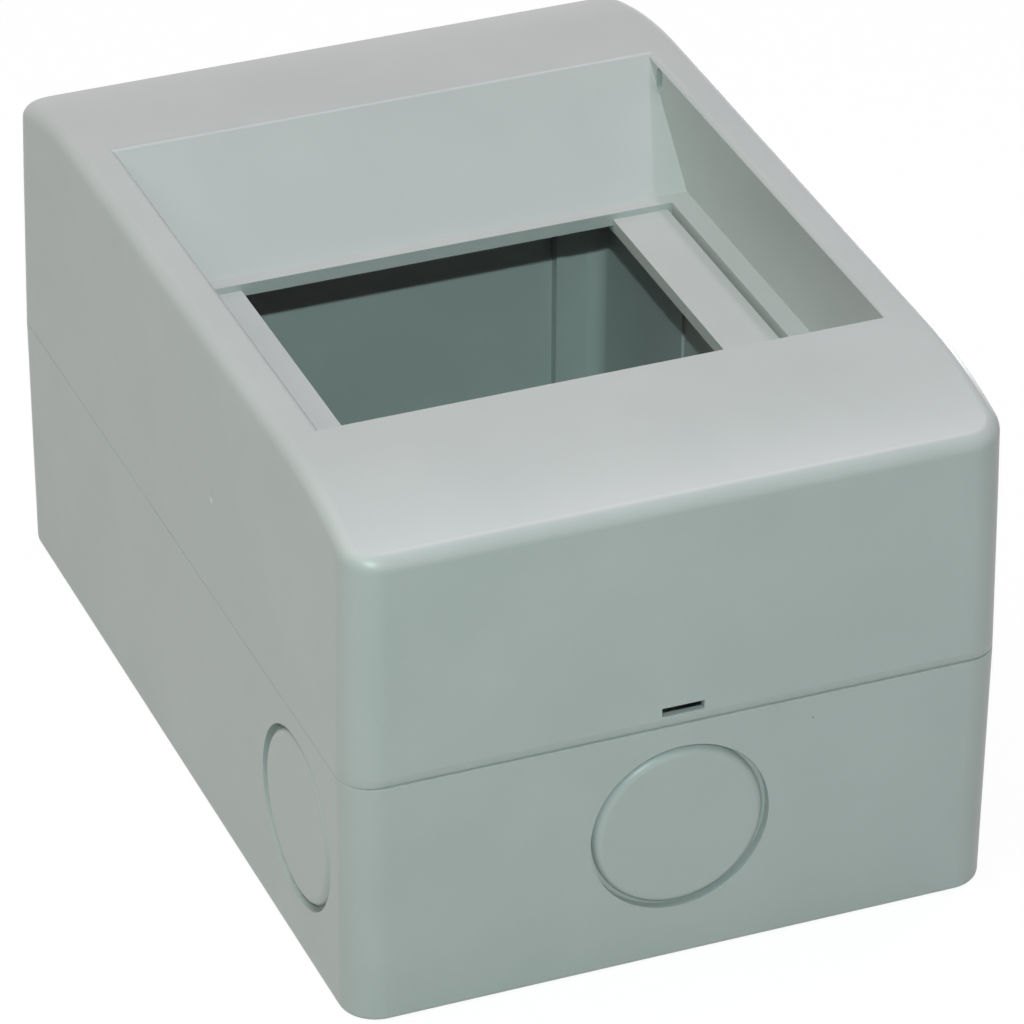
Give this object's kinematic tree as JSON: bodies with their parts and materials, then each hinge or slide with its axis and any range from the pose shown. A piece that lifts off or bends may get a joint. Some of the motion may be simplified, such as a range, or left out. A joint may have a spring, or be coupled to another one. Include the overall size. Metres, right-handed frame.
{
  "type": "din rail enclosure",
  "caption": "Surface-mounting enclosure for modular rail devices: drafted base box with cable knock-outs and a lift-off cover with crowned top, sloping recess and device window.",
  "frame": {"origin": "centre of the underside of the base, on the surface that it is screwed to", "axes": "+Z out of the wall towards the front cover, +Y along the longer side towards the edge with the door pivots, +X to the right along the rail"},
  "size_m": [0.09, 0.131, 0.0729],
  "materials": {
    "shell": "light grey moulded plastic with a fine satin grain",
    "rail": "zinc-plated rolled steel sheet",
    "screws": "bright zinc-plated steel"
  },
  "bodies": {
    "base": {"base_box": "shell", "din_rail": "rail", "rail_screw_left": "screws", "rail_screw_right": "screws"},
    "cover": {"front_cover": "shell"}
  },
  "joints": [
    {"name": "cover_lift", "type": "slide", "parent": "base", "child": "cover", "axis": [0, 0, 1], "range_m": [0, 0.06]}
  ]
}
